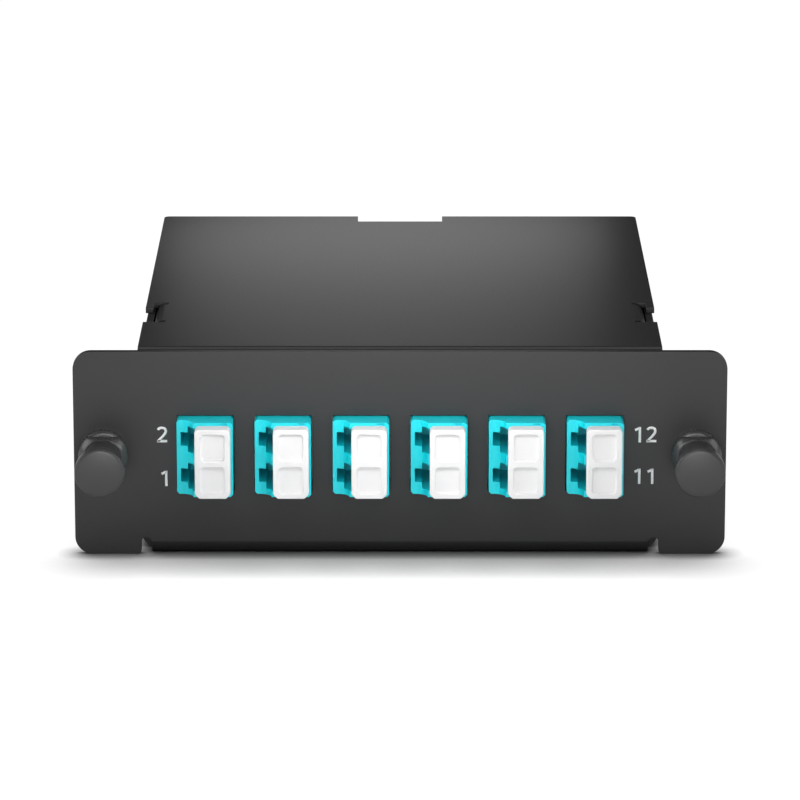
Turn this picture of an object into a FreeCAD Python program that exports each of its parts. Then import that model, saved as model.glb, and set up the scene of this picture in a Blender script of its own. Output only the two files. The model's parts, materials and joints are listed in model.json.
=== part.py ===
import FreeCAD, Part
import math
import os

# Rack-panel fibre cassette: a folded steel tray with six duplex LC adapters in front and
# one MPO adapter behind. Millimetres. X runs along the panel, Y from front to back, Z up.
# The origin lies on the rear face of the panel's ears, midway between the two latches.

# ---------------------------------------------------------------- sheet metal
SHEET = 1.2                 # tray sheet
BEND_INNER = 1.1            # inner radius of the tray's bends
COVER_SHEET = 1.0           # cover sheet
COVER_BEND_INNER = 0.6      # inner radius of the cover's bends
SHEET_GAP = 0.3             # gap between two edges of the folded sheet

# ---------------------------------------------------------------- front panel
TRAY_WIDTH = 86.8
EAR_WIDTH = 11.1            # panel beyond each side wall
PANEL_HEIGHT = 35.0
PANEL_CORNER = 3.0
EAR_CORNER = 0.7            # lower inner corner of each ear
RELIEF_WIDTH = 1.75         # bend relief beside the folded bottom edge
RELIEF_HEIGHT = 2.9

# ---------------------------------------------------------------- tray and cover
COVER_OVERHANG = 0.4        # cover beyond each side wall
COVER_DEPTH = 100.0
COVER_GAP = 1.3             # between panel and cover flange
COVER_FLANGE = 6.0          # height of the flange behind the panel
COVER_CORNER = 1.0
WALL_RELIEF = 4.0           # height left free at the ends of the side walls
NOTCH_WIDTH = 15.6          # lifting notch in the cover's rear edge
NOTCH_DEPTH = 4.3
TAB_FRONT = 18.3            # front relief slot of the screw tab, from the cover's front
TAB_LENGTH = 11.7
TAB_SLOT = 1.0
TAB_STRIP = 10.0            # length of edge strip cut away beside the tab
TAB_INSET = 1.8             # tab face, in from the cover's edge
TAB_ROOT = 2.0              # slots reach this much further in
TAB_SLIT = 0.4
TAB_HEIGHT = 8.5
SCREW_DROP = 5.0            # tab screw axis below the cover's top

# ---------------------------------------------------------------- latches
LATCH_OFFSET = 6.1          # latch axis from the side wall
LATCH_HOLE_RADIUS = 2.5
SHANK_RADIUS = 2.4
SHANK_LENGTH = 8.0
SHANK_SLIT = 0.8
LATCH_FLANGE_RADIUS = 4.15
LATCH_FLANGE = 1.2
LATCH_FLAT = 3.2            # half height over the body's flats
LATCH_BODY = 3.3            # front of the body, from the panel's front
PIN_RADIUS = 1.25
PIN_CLEARANCE = 0.06
PIN_TIP = 1.5               # pin beyond the shank
NECK_RADIUS = 3.05
HEAD_RADIUS = 4.15
HEAD_THICKNESS = 2.1
HEAD_FRONT = 12.9           # front of the head, from the panel's front
HEAD_CHAMFER = 0.4
PLUNGER_GAP = 0.05

# ---------------------------------------------------------------- LC adapters
ADAPTER_COUNT = 6
ADAPTER_MARGIN = 10.9       # middle of an end adapter from the tray's side
ADAPTER_WIDTH = 9.4
ADAPTER_HEIGHT = 12.8
ADAPTER_LENGTH = 27.8
ADAPTER_CORNER = 0.4
ADAPTER_FRONT = 4.3         # port face, from the panel's front
LATCH_SIDE_SETBACK = 2.0    # latch side behind the port face; also the ramp's radius
LATCH_SIDE_WIDTH = 0.8      # flat part of the latch side
WINDOW_CLEARANCE = 0.15
COLLAR_THICKNESS = 1.4
COLLAR_HEIGHT = 0.8
COLLAR_WIDTH = 7.0
PORT_PITCH = 6.25
PORT_SIZE = 4.6
PORT_WALL = 1.0             # adapter wall beside the ports
MARK_WIDTH = 1.1            # moulded slot above the ports
MARK_HEIGHT = 0.3
MARK_DEPTH = 0.5
MARK_PLACE = 3.2            # middle of the slot, from the adapter's middle
MARK_DROP = 0.25            # middle of the slot, from the adapter's top
KEY_DEPTH = 1.93            # shoulder of the latch keyway
KEY_HEIGHT = 4.4
STEM_DEPTH = 1.2            # narrow part of the keyway
STEM_HEIGHT = 2.3
WEB_THICKNESS = 2.0         # wall between front and rear ports
HOLDER_SIZE = 2.8           # square boss round each sleeve
HOLDER_LENGTH = 11.0
SLEEVE_RADIUS = 0.81
SLEEVE_WALL = 0.17
SLEEVE_LENGTH = 10.6
SLEEVE_CLEARANCE = 0.04

# ---------------------------------------------------------------- adapter clips
CLIP_SHEET = 0.3
CLIP_GAP = 0.05
CLIP_FRONT = 1.6
CLIP_LENGTH = 6.0
CLIP_LEG_BOTTOM = -5.0
FINGER_CLEARANCE = 0.5      # from a finger to half way between two adapters
FINGER_HEIGHT = 4.0
FINGER_FRONT = 0.3
FINGER_ROOT = 1.0           # where a finger leaves its leg, from the clip's rear edge

# ---------------------------------------------------------------- LC dust caps
CAP_WIDTH = 5.93
CAP_HEIGHT = 11.9
CAP_THICKNESS = 2.75
CAP_CORNER = 0.75
CAP_GAP = 0.05
CAP_STEM = 4.3
CAP_STEM_LENGTH = 8.0
CAP_HOLLOW = 3.3            # room in a cap's plug for the sleeve holder
HOLDER_GAP = 1.0            # from the holder's end to the bottom of that room
RECESS_WIDTH = 4.0
RECESS_HEIGHT = 4.5
RECESS_DEPTH = 0.45
RECESS_CORNER = 0.5
RECESS_PITCH = 5.6

# ---------------------------------------------------------------- LC plugs
FERRULE_RADIUS = 0.62
NOSE_SIZE = 4.4
NOSE_GAP = 0.3              # from the sleeve holder to the nose
NOSE_LENGTH = 9.5
FERRULE_ROOT = 1.0          # ferrule held inside the nose
LEVER_REACH = 1.6
LEVER_THICKNESS = 0.8
LEVER_HEIGHT = 3.0
LEVER_LENGTH = 12.5
SHELL_WIDTH = 5.2
SHELL_HEIGHT = 11.4
SHELL_GAP = 0.7             # behind the adapter
SHELL_LENGTH = 8.0
BOOT_SIZE = 4.6
BOOT_LENGTH = 6.0
BOOT_WALL = 0.4

# ---------------------------------------------------------------- MPO adapter
MPO_WIDTH = 12.8
MPO_HEIGHT = 9.2
MPO_LENGTH = 27.0
MPO_FLANGE_WIDTH = 22.0
MPO_FLANGE = 1.8
MPO_CORNER = 0.8
MPO_PORT_WIDTH = 10.2
MPO_PORT_HEIGHT = 6.8
MPO_KEY_WIDTH = 3.2
MPO_KEY_DEPTH = 0.7
MPO_WEB = 1.6
MPO_SCREW_SPACING = 17.6
MPO_SCREW_RADIUS = 1.0
MPO_HEAD_RADIUS = 1.8
MPO_HEAD = 1.0
MPO_SCREW_REACH = 2.0       # screw end beyond the rear wall's inner face
MPO_CAP_FLANGE = 2.5
MPO_CAP_STEM = 7.5
MPO_CLEARANCE = 0.15
FERRULE_BLOCK_WIDTH = 6.4
FERRULE_BLOCK_HEIGHT = 2.5
FERRULE_BLOCK_ROOM = 0.5    # web opening beyond each side of the ferrule block
FERRULE_BLOCK_REAR = 3.0    # ferrule block in front of the plug's housing
MPO_COLLAR_LENGTH = 12.0
MPO_COLLAR_WIDTH = 12.0
MPO_COLLAR_HEIGHT = 8.0
MPO_BOOT_LENGTH = 6.0
MPO_BOOT_WIDTH = 7.0
MPO_BOOT_HEIGHT = 5.0

# ---------------------------------------------------------------- fibre harness
RIBBON_WIDTH = 3.1          # twelve fibres side by side
RIBBON_THICKNESS = 0.5
RIBBON_LENGTH = 4.0
TAIL_THICKNESS = 0.9        # two buffered fibres, one above the other
TAIL_HEIGHT = 1.8
TAIL_PITCH = 1.8
TAIL_LEAD = 8.0             # straight lead of a tail at both of its ends
LEAD_SHARE = 0.85           # share of the lead that the bend may use
BEND_STEPS = 4              # straight runs in each bend
FANOUT_WIDTH = 12.0
FANOUT_LENGTH = 8.0
FANOUT_HEIGHT = 4.0
FANOUT_TAPER = 2.6
STAND_SHEET = 0.8
STAND_LENGTH = 6.0
STAND_FOOT = 4.0

# ---------------------------------------------------------------- screws
SCREW_RADIUS = 1.25
SCREW_HEAD_RADIUS = 2.3     # flat head, flush with the side wall
SCREW_CLEARANCE = 0.1
SCREW_REACH = 3.0           # screw end beyond the tab's face
CUT_OVER = 1.0              # cutting shapes run this far past the faces they open

# ---------------------------------------------------------------- derived places
PANEL_WIDTH = TRAY_WIDTH + 2 * EAR_WIDTH
BASE = -PANEL_HEIGHT / 2
TOP = PANEL_HEIGHT / 2
PANEL_FRONT = -SHEET
BEND_OUTER = BEND_INNER + SHEET
COVER_BEND_OUTER = COVER_BEND_INNER + COVER_SHEET
WALL_OUTER = TRAY_WIDTH / 2
WALL_INNER = WALL_OUTER - SHEET
WALL_TOP = TOP - COVER_SHEET
FOLD_HALF = WALL_OUTER - RELIEF_WIDTH
COVER_HALF = WALL_OUTER + COVER_OVERHANG
COVER_FRONT = COVER_GAP
COVER_REAR = COVER_FRONT + COVER_DEPTH
REAR_OUTER = COVER_REAR
REAR_INNER = REAR_OUTER - SHEET
TAB_FACE = COVER_HALF - TAB_INSET
TAB_MIDDLE = COVER_FRONT + TAB_FRONT + TAB_SLOT + TAB_LENGTH / 2
SCREW_HEIGHT = TOP - SCREW_DROP
LATCH_X = TRAY_WIDTH / 2 + LATCH_OFFSET
ADAPTER_PITCH = (TRAY_WIDTH - 2 * ADAPTER_MARGIN) / (ADAPTER_COUNT - 1)
FINGER_SPREAD = (ADAPTER_PITCH - ADAPTER_WIDTH) / 2 - CLIP_GAP - CLIP_SHEET - FINGER_CLEARANCE
PORT_FACE = PANEL_FRONT - ADAPTER_FRONT
ADAPTER_REAR = PORT_FACE + ADAPTER_LENGTH
ADAPTER_MIDDLE = PORT_FACE + ADAPTER_LENGTH / 2
PORT_OFFSET = ADAPTER_WIDTH / 2 - PORT_WALL - PORT_SIZE / 2
PORT_LEFT = PORT_OFFSET - PORT_SIZE / 2
PORT_HEIGHTS = (PORT_PITCH / 2, -PORT_PITCH / 2)
HOLDER_REAR = ADAPTER_MIDDLE + HOLDER_LENGTH / 2
SHELL_FRONT = ADAPTER_REAR + SHELL_GAP
BOOT_FRONT = SHELL_FRONT + SHELL_LENGTH
BOOT_REAR = BOOT_FRONT + BOOT_LENGTH
MPO_FRONT = REAR_OUTER + MPO_FLANGE / 2 - MPO_LENGTH / 2
MPO_REAR = MPO_FRONT + MPO_LENGTH
MPO_MIDDLE = MPO_FRONT + MPO_LENGTH / 2
MPO_COLLAR_REAR = MPO_FRONT - SHEET_GAP
MPO_COLLAR_FRONT = MPO_COLLAR_REAR - MPO_COLLAR_LENGTH
MPO_BOOT_FRONT = MPO_COLLAR_FRONT - MPO_BOOT_LENGTH
FLOOR = BASE + SHEET
FANOUT_REAR = MPO_BOOT_FRONT - RIBBON_LENGTH
FANOUT_FRONT = FANOUT_REAR - FANOUT_LENGTH


# ---------------------------------------------------------------- helpers
def vec(x, y, z):
    return FreeCAD.Vector(x, y, z)


def box(x, y, z):
    """Block between two limits along each axis, each given as (low, high)."""
    size = [high - low for low, high in (x, y, z)]
    return Part.makeBox(*size, vec(x[0], y[0], z[0]))


def centred(middle, width):
    return (middle - width / 2, middle + width / 2)


def edges_along(shape, axis, test=lambda point: True):
    """Straight edges that run along an axis and whose middle passes the test."""
    found = []
    for edge in shape.Edges:
        run = edge.Vertexes[-1].Point - edge.Vertexes[0].Point
        if run.Length > 0 and abs(abs(run.normalize() * axis) - 1) < 1e-6:
            if test(edge.CenterOfMass):
                found.append(edge)
    return found


ALONG_X = vec(1, 0, 0)
ALONG_Y = vec(0, 1, 0)
ALONG_Z = vec(0, 0, 1)


def rounded_box(x, y, z, radius, axis, test=lambda point: True):
    block = box(x, y, z)
    return block.makeFillet(radius, edges_along(block, axis, test))


def chamfered_box(x, y, z, size):
    """Block with chamfers along its four edges that run along Y."""
    block = box(x, y, z)
    return block.makeChamfer(size, edges_along(block, ALONG_Y))


def rod(x, z, radius, y):
    """Round rod along Y."""
    return Part.makeCylinder(radius, y[1] - y[0], vec(x, y[0], z), ALONG_Y)


def eight_sided_rod(x, z, radius, y):
    """Small rod along Y with eight flat sides; radius is that of its corners."""
    turns = [math.radians(22.5 + 45 * i) for i in range(8)]
    corners = [vec(x + radius * math.cos(a), y[0], z + radius * math.sin(a)) for a in turns]
    return Part.Face(Part.makePolygon(corners + corners[:1])).extrude(vec(0, y[1] - y[0], 0))


def past(limits):
    """Limits that run a little past both faces of what is cut."""
    return (limits[0] - CUT_OVER, limits[1] + CUT_OVER)


def fuse(shapes):
    return shapes[0].multiFuse(shapes[1:]).removeSplitter()


def slab(points, z):
    """Outline in the XY plane, given as corner points, raised from z low to z high."""
    corners = [vec(x, y, z[0]) for x, y in points]
    face = Part.Face(Part.makePolygon(corners + corners[:1]))
    return face.extrude(vec(0, 0, z[1] - z[0]))


def both_sides(shape):
    return [shape, shape.mirror(vec(0, 0, 0), ALONG_X)]


def taper(x, front, rear, y):
    """Flat-sided taper along Y between two centred rectangles, each (width, height)."""
    def ring(size, depth):
        signs = [(-1, -1), (1, -1), (1, 1), (-1, 1)]
        return [vec(x + a * size[0] / 2, depth, b * size[1] / 2) for a, b in signs]

    near = ring(front, y[0])
    far = ring(rear, y[1])
    sides = [[near[i], near[(i + 1) % 4], far[(i + 1) % 4], far[i]] for i in range(4)]
    faces = [Part.Face(Part.makePolygon(corners + corners[:1])) for corners in sides + [near, far]]
    return Part.makeSolid(Part.makeShell(faces))


# ---------------------------------------------------------------- tray and cover
def panel_plate():
    """Flat front panel with its relief notches and the strip cleared for the bottom fold."""
    plate = rounded_box(centred(0, PANEL_WIDTH), (PANEL_FRONT, 0), (BASE, TOP), PANEL_CORNER, ALONG_Y)
    plate = plate.cut(box((-FOLD_HALF, FOLD_HALF), (PANEL_FRONT, 0), (BASE, BASE + BEND_OUTER)))
    arch = RELIEF_WIDTH / 2
    relief_x = (FOLD_HALF, WALL_OUTER)
    relief = box(relief_x, (PANEL_FRONT, 0), (BASE, BASE + RELIEF_HEIGHT - arch))
    relief = relief.fuse(rod(FOLD_HALF + arch, BASE + RELIEF_HEIGHT - arch, arch, (PANEL_FRONT, 0)))
    plate = plate.cut(both_sides(relief))
    ears = edges_along(plate, ALONG_Y, lambda p: abs(abs(p.x) - WALL_OUTER) < 0.01 and p.z < BASE + 0.01)
    return plate.makeFillet(EAR_CORNER, ears)


def corner_fold(half_width, outer_y, inward, run, rise, sheet, inner_radius, corner_z, upward):
    """Strip of sheet that turns one right-angle bend about the X axis.

    outer_y is the outer face of the upright leg and corner_z that of the flat leg. The flat
    leg runs inward (1 or -1) along Y, and the upright leg goes upward (1 or -1) along Z."""
    def at(depth, height):
        return vec(-half_width, outer_y + inward * depth, corner_z + upward * height)

    outer = inner_radius + sheet
    crown_out = outer * (1 - math.sqrt(0.5))
    crown_in = outer - inner_radius * math.sqrt(0.5)
    legs = [(at(outer, 0), at(run, 0)), (at(run, 0), at(run, sheet)), (at(run, sheet), at(outer, sheet)),
            (at(sheet, outer), at(sheet, rise)), (at(sheet, rise), at(0, rise)), (at(0, rise), at(0, outer))]
    edges = [Part.LineSegment(start, end).toShape() for start, end in legs if (end - start).Length > 1e-6]
    edges.append(Part.Arc(at(0, outer), at(crown_out, crown_out), at(outer, 0)).toShape())
    edges.append(Part.Arc(at(outer, sheet), at(crown_in, crown_in), at(sheet, outer)).toShape())
    face = Part.Face(Part.Wire(Part.sortEdges(edges)[0]))
    return face.extrude(vec(2 * half_width, 0, 0))


def tray_channel():
    """Bottom and side walls, from behind the front fold to the rear fold."""
    y = (COVER_FRONT + COVER_BEND_OUTER, REAR_OUTER - BEND_OUTER)
    low = lambda p: p.z < 0
    outside = rounded_box(centred(0, TRAY_WIDTH), y, (BASE, WALL_TOP), BEND_OUTER, ALONG_Y, low)
    inside = rounded_box((-WALL_INNER, WALL_INNER), y, (FLOOR, WALL_TOP + SHEET), BEND_INNER, ALONG_Y, low)
    return outside.cut(inside), y


def front_tray():
    channel, span = tray_channel()
    clear_of_bend = BASE + WALL_RELIEF
    wall_x = (WALL_INNER, WALL_OUTER)
    nose = box(wall_x, (SHEET_GAP, span[0]), (clear_of_bend, TOP - COVER_FLANGE - SHEET_GAP))
    tail = box(wall_x, (span[1], REAR_INNER - SHEET_GAP), (clear_of_bend, WALL_TOP))
    front_fold = corner_fold(FOLD_HALF, PANEL_FRONT, 1, span[0] - PANEL_FRONT, BEND_OUTER,
                             SHEET, BEND_INNER, BASE, 1)
    rear_half = WALL_OUTER - BEND_OUTER
    rear_fold = corner_fold(rear_half, REAR_OUTER, -1, BEND_OUTER, WALL_RELIEF,
                            SHEET, BEND_INNER, BASE, 1)
    rear_wall = box(centred(0, TRAY_WIDTH), (REAR_INNER, REAR_OUTER), (clear_of_bend, WALL_TOP))
    sheet = fuse([panel_plate(), front_fold, channel, rear_fold, rear_wall] + both_sides(nose) + both_sides(tail))
    return sheet.cut(tray_openings())


def tray_openings():
    """Adapter windows, latch holes, MPO window and screw holes."""
    through_panel = past((PANEL_FRONT, 0))
    through_rear = past((REAR_INNER, REAR_OUTER))
    cuts = []
    for x in adapter_places():
        cuts.append(box(centred(x, ADAPTER_WIDTH + 2 * WINDOW_CLEARANCE), through_panel,
                        centred(0, ADAPTER_HEIGHT + 2 * WINDOW_CLEARANCE)))
    cuts += both_sides(rod(LATCH_X, 0, LATCH_HOLE_RADIUS, through_panel))
    cuts.append(box(centred(0, MPO_WIDTH + 2 * MPO_CLEARANCE), through_rear,
                    centred(0, MPO_HEIGHT + 2 * MPO_CLEARANCE)))
    cuts += both_sides(rod(MPO_SCREW_SPACING / 2, 0, MPO_SCREW_RADIUS + SCREW_CLEARANCE, through_rear))
    head_hole = Part.makeCylinder(SCREW_HEAD_RADIUS + SCREW_CLEARANCE, SHEET,
                                  vec(WALL_OUTER, TAB_MIDDLE, SCREW_HEIGHT), vec(-1, 0, 0))
    return cuts + both_sides(head_hole)


def cover_tab():
    """Screw tab bent down just inside the side wall."""
    fold = corner_fold(TAB_LENGTH / 2, 0, 1, TAB_ROOT + COVER_SHEET, TAB_HEIGHT,
                       COVER_SHEET, COVER_BEND_INNER, TOP, -1)
    fold.rotate(vec(0, 0, 0), ALONG_Z, 90)
    fold.translate(vec(TAB_FACE, TAB_MIDDLE, 0))
    hole = Part.makeCylinder(SCREW_RADIUS + SCREW_CLEARANCE, 2 * COVER_SHEET,
                             vec(TAB_FACE + COVER_SHEET / 2, TAB_MIDDLE, SCREW_HEIGHT), vec(-1, 0, 0))
    return fold.cut(hole)


def tab_cutout():
    """Slots, slit and missing edge strip that free a tab on the cover's +X side."""
    z = past((WALL_TOP, TOP))
    front = COVER_FRONT + TAB_FRONT
    rear = front + TAB_SLOT + TAB_LENGTH
    inner = TAB_FACE - TAB_ROOT
    strip = box((TAB_FACE, COVER_HALF + CUT_OVER), (front, front + TAB_STRIP), z)
    bend = box((inner, TAB_FACE), (front, rear + TAB_SLOT), z)
    slit = box((TAB_FACE, TAB_FACE + TAB_SLIT), (front, rear + TAB_SLOT), z)
    return strip.multiFuse([bend, slit])


def top_cover():
    is_corner = lambda p: p.y > COVER_REAR - COVER_CORNER
    plate = rounded_box((-COVER_HALF, COVER_HALF), (COVER_FRONT + COVER_BEND_OUTER, COVER_REAR), (WALL_TOP, TOP),
                        COVER_CORNER, ALONG_Z, is_corner)
    flange = corner_fold(COVER_HALF, COVER_FRONT, 1, COVER_BEND_OUTER, COVER_FLANGE,
                         COVER_SHEET, COVER_BEND_INNER, TOP, -1)
    notch = box(centred(0, NOTCH_WIDTH), (COVER_REAR - NOTCH_DEPTH, COVER_REAR + CUT_OVER), past((WALL_TOP, TOP)))
    plate = plate.cut([notch] + both_sides(tab_cutout()))
    return fuse([plate, flange] + both_sides(cover_tab()))


# ---------------------------------------------------------------- latches
def latch_grommet(x):
    """Flange, flatted body and split shank, bored for the plunger's pin."""
    front = PANEL_FRONT - LATCH_BODY
    flange = rod(x, 0, LATCH_FLANGE_RADIUS, (PANEL_FRONT - LATCH_FLANGE, PANEL_FRONT))
    body = rod(x, 0, LATCH_FLANGE_RADIUS, (front, PANEL_FRONT))
    body = body.common(box(centred(x, 2 * LATCH_FLANGE_RADIUS), (front, PANEL_FRONT), centred(0, 2 * LATCH_FLAT)))
    shank = rod(x, 0, SHANK_RADIUS, (PANEL_FRONT, SHANK_LENGTH))
    bore = rod(x, 0, PIN_RADIUS + PIN_CLEARANCE, past((front, SHANK_LENGTH)))
    slit = box(centred(x, SHANK_SLIT), (SHEET_GAP, SHANK_LENGTH + CUT_OVER), centred(0, 2 * SHANK_RADIUS))
    return fuse([flange, body, shank]).cut([bore, slit])


def latch_plunger(x):
    """Pull head, neck and pin, turned about the latch's axis."""
    head_front = PANEL_FRONT - HEAD_FRONT
    head_rear = head_front + HEAD_THICKNESS
    neck_rear = PANEL_FRONT - LATCH_BODY - PLUNGER_GAP
    head = rod(x, 0, HEAD_RADIUS, (head_front, head_rear))
    front_rim = [e for e in head.Edges if e.CenterOfMass.y < head_front + HEAD_CHAMFER / 2]
    head = head.makeChamfer(HEAD_CHAMFER, front_rim)
    neck = rod(x, 0, NECK_RADIUS, (head_rear, neck_rear))
    pin = rod(x, 0, PIN_RADIUS, (neck_rear, SHANK_LENGTH + PIN_TIP))
    return fuse([head, neck, pin])


# ---------------------------------------------------------------- LC adapters
def adapter_places():
    first = -ADAPTER_PITCH * (ADAPTER_COUNT - 1) / 2
    return [first + ADAPTER_PITCH * i for i in range(ADAPTER_COUNT)]


def adapter_outline():
    """Outline of an adapter from above: both ends step back on the latch side, in front round a ramp."""
    left = -ADAPTER_WIDTH / 2
    right = ADAPTER_WIDTH / 2
    ramp = left + LATCH_SIDE_WIDTH
    r = LATCH_SIDE_SETBACK
    mid = r * math.sqrt(0.5)
    front = PORT_FACE
    rear = ADAPTER_REAR
    edges = [
        Part.LineSegment(vec(right, front, 0), vec(ramp + r, front, 0)),
        Part.Arc(vec(ramp + r, front, 0), vec(ramp + mid, front + mid, 0), vec(ramp, front + r, 0)),
        Part.LineSegment(vec(ramp, front + r, 0), vec(left, front + r, 0)),
        Part.LineSegment(vec(left, front + r, 0), vec(left, rear - r, 0)),
        Part.LineSegment(vec(left, rear - r, 0), vec(ramp + r, rear, 0)),
        Part.LineSegment(vec(ramp + r, rear, 0), vec(right, rear, 0)),
        Part.LineSegment(vec(right, rear, 0), vec(right, front, 0)),
    ]
    return Part.Face(Part.Wire([edge.toShape() for edge in edges]))


def port_cavity(z, y):
    """Square port with its latch keyway."""
    port = box((PORT_LEFT, PORT_LEFT + PORT_SIZE), y, centred(z, PORT_SIZE))
    key = box((PORT_LEFT - KEY_DEPTH, PORT_LEFT), y, centred(z, KEY_HEIGHT))
    stem = box((PORT_LEFT - KEY_DEPTH - STEM_DEPTH, PORT_LEFT), y, centred(z, STEM_HEIGHT))
    return port.multiFuse([key, stem])


def lc_adapter():
    prism = adapter_outline().extrude(vec(0, 0, ADAPTER_HEIGHT))
    prism.translate(vec(0, 0, -ADAPTER_HEIGHT / 2))
    body = prism.common(chamfered_box(centred(0, ADAPTER_WIDTH), (PORT_FACE, ADAPTER_REAR),
                                      centred(0, ADAPTER_HEIGHT), ADAPTER_CORNER))
    collar = box(centred(0, COLLAR_WIDTH), (0, COLLAR_THICKNESS), centred(0, ADAPTER_HEIGHT + 2 * COLLAR_HEIGHT))
    body = body.fuse(collar)
    web = centred(ADAPTER_MIDDLE, WEB_THICKNESS)
    cavities = [box(centred(MARK_PLACE, MARK_WIDTH), (PORT_FACE, PORT_FACE + MARK_DEPTH),
                    centred(ADAPTER_HEIGHT / 2 - MARK_DROP, MARK_HEIGHT))]
    holders = []
    bores = []
    for z in PORT_HEIGHTS:
        cavities.append(port_cavity(z, (PORT_FACE, web[0])))
        cavities.append(port_cavity(z, (web[1], ADAPTER_REAR)))
        span = centred(ADAPTER_MIDDLE, HOLDER_LENGTH)
        holders.append(box(centred(PORT_OFFSET, HOLDER_SIZE), span, centred(z, HOLDER_SIZE)))
        bores.append(eight_sided_rod(PORT_OFFSET, z, SLEEVE_RADIUS + SLEEVE_CLEARANCE, span))
    return fuse([body.cut(cavities)] + holders).cut(bores)


def adapter_clip():
    """Spring-steel saddle over the adapter with one finger a side against the panel."""
    y = (CLIP_FRONT, CLIP_FRONT + CLIP_LENGTH)
    inner = ADAPTER_WIDTH / 2 + CLIP_GAP
    outer = inner + CLIP_SHEET
    top = ADAPTER_HEIGHT / 2 + CLIP_GAP
    bridge = box((-outer, outer), y, (top, top + CLIP_SHEET))
    leg = box((inner, outer), y, (CLIP_LEG_BOTTOM, top))
    root = y[1] - FINGER_ROOT
    finger = slab([(inner, root), (outer, root), (outer + FINGER_SPREAD, FINGER_FRONT),
                   (inner + FINGER_SPREAD, FINGER_FRONT)], centred(0, FINGER_HEIGHT))
    return fuse([bridge] + both_sides(leg) + both_sides(finger))


def sleeve_pair():
    sleeves = []
    for z in PORT_HEIGHTS:
        span = centred(ADAPTER_MIDDLE, SLEEVE_LENGTH)
        sleeves.append(eight_sided_rod(PORT_OFFSET, z, SLEEVE_RADIUS, span).cut(
            eight_sided_rod(PORT_OFFSET, z, SLEEVE_RADIUS - SLEEVE_WALL, span)))
    return Part.makeCompound(sleeves)


def dust_cap():
    """Flat pull cap with two shallow finger recesses and a hollow plug for each port."""
    face = (PORT_FACE - CAP_GAP - CAP_THICKNESS, PORT_FACE - CAP_GAP)
    plate = chamfered_box(centred(PORT_OFFSET, CAP_WIDTH), face, centred(0, CAP_HEIGHT), CAP_CORNER)
    recesses = []
    for z in (RECESS_PITCH / 2, -RECESS_PITCH / 2):
        recesses.append(chamfered_box(centred(PORT_OFFSET, RECESS_WIDTH), (face[0] - CUT_OVER, face[0] + RECESS_DEPTH),
                                      centred(z, RECESS_HEIGHT), RECESS_CORNER))
    plugs = []
    for z in PORT_HEIGHTS:
        y = (face[1], face[1] + CAP_STEM_LENGTH)
        plug = box(centred(PORT_OFFSET, CAP_STEM), y, centred(z, CAP_STEM))
        hollow = (ADAPTER_MIDDLE - HOLDER_LENGTH / 2 - HOLDER_GAP, y[1])
        plugs.append(plug.cut(box(centred(PORT_OFFSET, CAP_HOLLOW), hollow, centred(z, CAP_HOLLOW))))
    return fuse([plate.cut(recesses)] + plugs)


def lc_plug():
    """Duplex plug with one boot, seated in the adapter from inside the tray."""
    nose_front = HOLDER_REAR + NOSE_GAP
    left = PORT_OFFSET - NOSE_SIZE / 2
    tip = left - LEVER_REACH
    pieces = []
    for z in PORT_HEIGHTS:
        pieces.append(eight_sided_rod(PORT_OFFSET, z, FERRULE_RADIUS, (ADAPTER_MIDDLE, nose_front + FERRULE_ROOT)))
        pieces.append(box(centred(PORT_OFFSET, NOSE_SIZE), (nose_front, nose_front + NOSE_LENGTH),
                          centred(z, NOSE_SIZE)))
        ramp = nose_front + 2 * LEVER_THICKNESS
        lever_end = nose_front + LEVER_LENGTH
        pieces.append(slab([(left, nose_front), (tip, ramp), (tip, lever_end), (tip + LEVER_THICKNESS, lever_end),
                            (tip + LEVER_THICKNESS, ramp + LEVER_THICKNESS), (left, ramp)],
                           centred(z, LEVER_HEIGHT)))
    pieces.append(box(centred(PORT_OFFSET, SHELL_WIDTH), (SHELL_FRONT, BOOT_FRONT), centred(0, SHELL_HEIGHT)))
    tip_size = (TAIL_THICKNESS + 2 * BOOT_WALL, TAIL_HEIGHT + 2 * BOOT_WALL)
    pieces.append(taper(PORT_OFFSET, (BOOT_SIZE, BOOT_SIZE), tip_size, (BOOT_FRONT, BOOT_REAR)))
    return fuse(pieces)


# ---------------------------------------------------------------- MPO side
def mpo_adapter():
    y = (MPO_FRONT, MPO_REAR)
    body = chamfered_box(centred(0, MPO_WIDTH), y, centred(0, MPO_HEIGHT), MPO_CORNER)
    flange = chamfered_box(centred(0, MPO_FLANGE_WIDTH), (REAR_OUTER, REAR_OUTER + MPO_FLANGE),
                           centred(0, MPO_HEIGHT), MPO_CORNER)
    web = centred(MPO_MIDDLE, MPO_WEB)
    cuts = []
    for span in ((y[0], web[0]), (web[1], y[1])):
        cuts.append(box(centred(0, MPO_PORT_WIDTH), span, centred(0, MPO_PORT_HEIGHT)))
        cuts.append(box(centred(0, MPO_KEY_WIDTH), span, (0, MPO_PORT_HEIGHT / 2 + MPO_KEY_DEPTH)))
    cuts.append(box(centred(0, FERRULE_BLOCK_WIDTH + 2 * FERRULE_BLOCK_ROOM), web,
                    centred(0, FERRULE_BLOCK_HEIGHT + 2 * FERRULE_BLOCK_ROOM)))
    cuts += both_sides(rod(MPO_SCREW_SPACING / 2, 0, MPO_SCREW_RADIUS + SCREW_CLEARANCE,
                           (REAR_OUTER, REAR_OUTER + MPO_FLANGE)))
    return fuse([body, flange]).cut(cuts)


def mpo_screw(x):
    seat = REAR_OUTER + MPO_FLANGE
    head = rod(x, 0, MPO_HEAD_RADIUS, (seat, seat + MPO_HEAD))
    shank = rod(x, 0, MPO_SCREW_RADIUS, (REAR_INNER - MPO_SCREW_REACH, seat))
    return head.fuse(shank).removeSplitter()


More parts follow.
